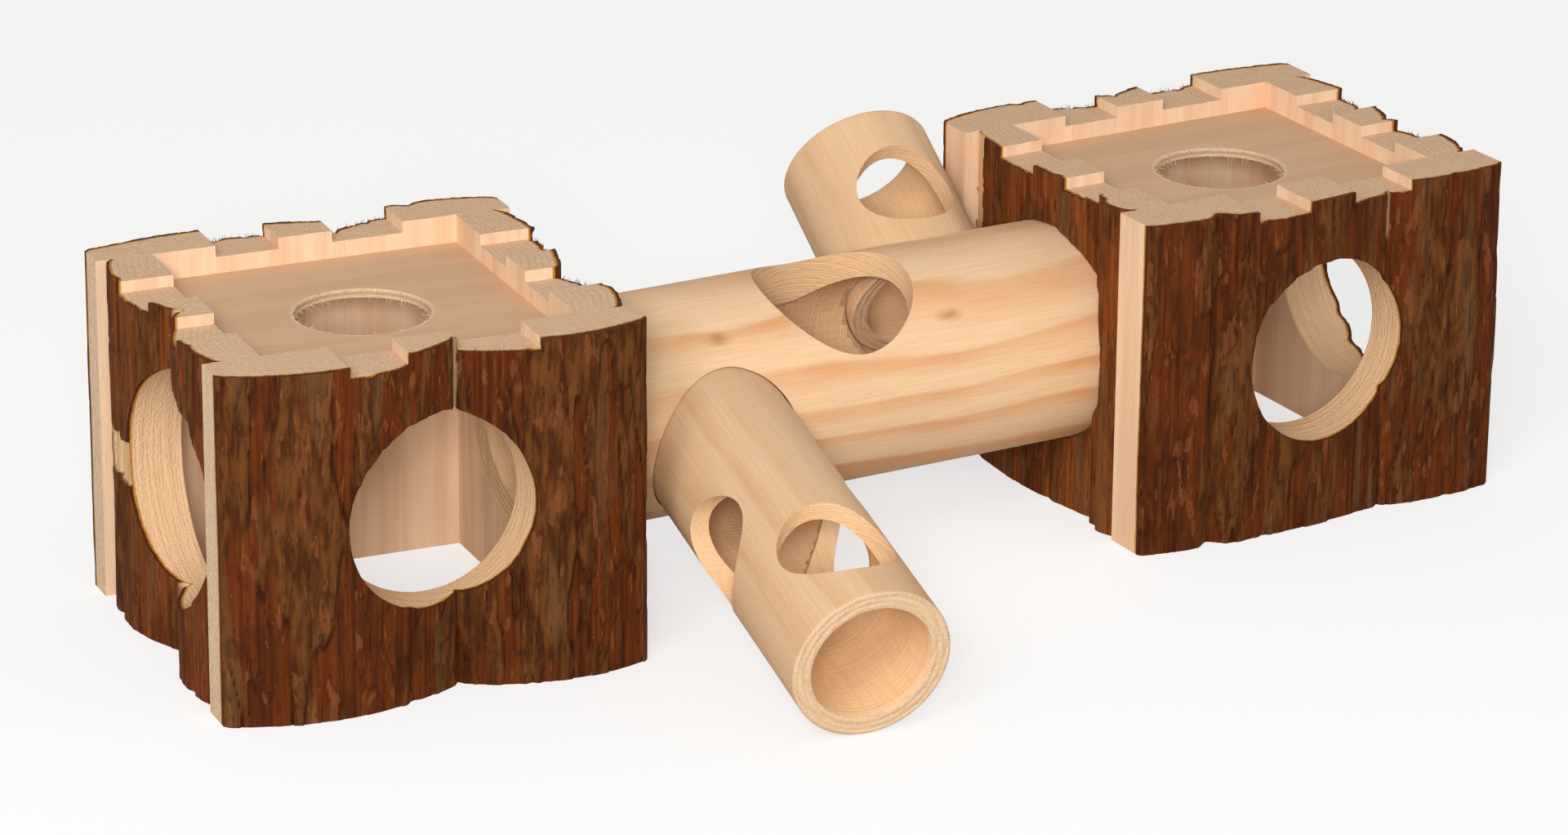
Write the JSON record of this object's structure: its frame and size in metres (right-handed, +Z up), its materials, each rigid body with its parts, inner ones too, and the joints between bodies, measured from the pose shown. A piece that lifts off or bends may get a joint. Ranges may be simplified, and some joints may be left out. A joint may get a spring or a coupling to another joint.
{
  "type": "hamster house",
  "caption": "Two open-bottomed bark-board towers with castle tops, joined by a bored log that carries a ramp branch and a raised branch.",
  "frame": {"origin": "middle of the whole outline, on the ground", "axes": "+X along the log from the left tower to the right one, +Y to the back, +Z up"},
  "size_m": [0.4732, 0.2502, 0.1258],
  "materials": {
    "bark_board": "rough bark outside, sawn inside and at the edges",
    "roof_plywood": "smooth unfinished plywood",
    "pine_log": "smooth turned pine",
    "branch_wood": "smooth pale wood"
  },
  "bodies": {
    "tunnel": {"main_tube": "pine_log"},
    "left_tower": {"left_tower_front_board_one": "bark_board", "left_tower_front_board_two": "bark_board", "left_tower_right_board_one": "bark_board", "left_tower_right_board_two": "bark_board", "left_tower_back_board_one": "bark_board", "left_tower_back_board_two": "bark_board", "left_tower_left_board_one": "bark_board", "left_tower_left_board_two": "bark_board", "left_tower_roof_panel": "roof_plywood"},
    "right_tower": {"right_tower_front_board_one": "bark_board", "right_tower_front_board_two": "bark_board", "right_tower_right_board_one": "bark_board", "right_tower_right_board_two": "bark_board", "right_tower_back_board_one": "bark_board", "right_tower_back_board_two": "bark_board", "right_tower_left_board_one": "bark_board", "right_tower_left_board_two": "bark_board", "right_tower_roof_panel": "roof_plywood"},
    "front_branch": {"front_tube": "branch_wood"},
    "back_branch": {"back_tube": "branch_wood"}
  },
  "joints": [
    {"name": "left_tower_slide", "type": "slide", "parent": "tunnel", "child": "left_tower", "axis": [-1, 0, 0], "range_m": [0, 0.03]},
    {"name": "right_tower_slide", "type": "slide", "parent": "tunnel", "child": "right_tower", "axis": [1, 0, 0], "range_m": [0, 0.03]},
    {"name": "front_branch_turn", "type": "hinge", "parent": "tunnel", "child": "front_branch", "pos_m": [-0.04496, 0.0378, 0.06], "axis": [-0.1267, -0.9692, -0.2113], "continuous": true},
    {"name": "back_branch_slide", "type": "slide", "parent": "tunnel", "child": "back_branch", "axis": [0.083, 0.862, 0.5], "range_m": [0, 0.03]}
  ]
}
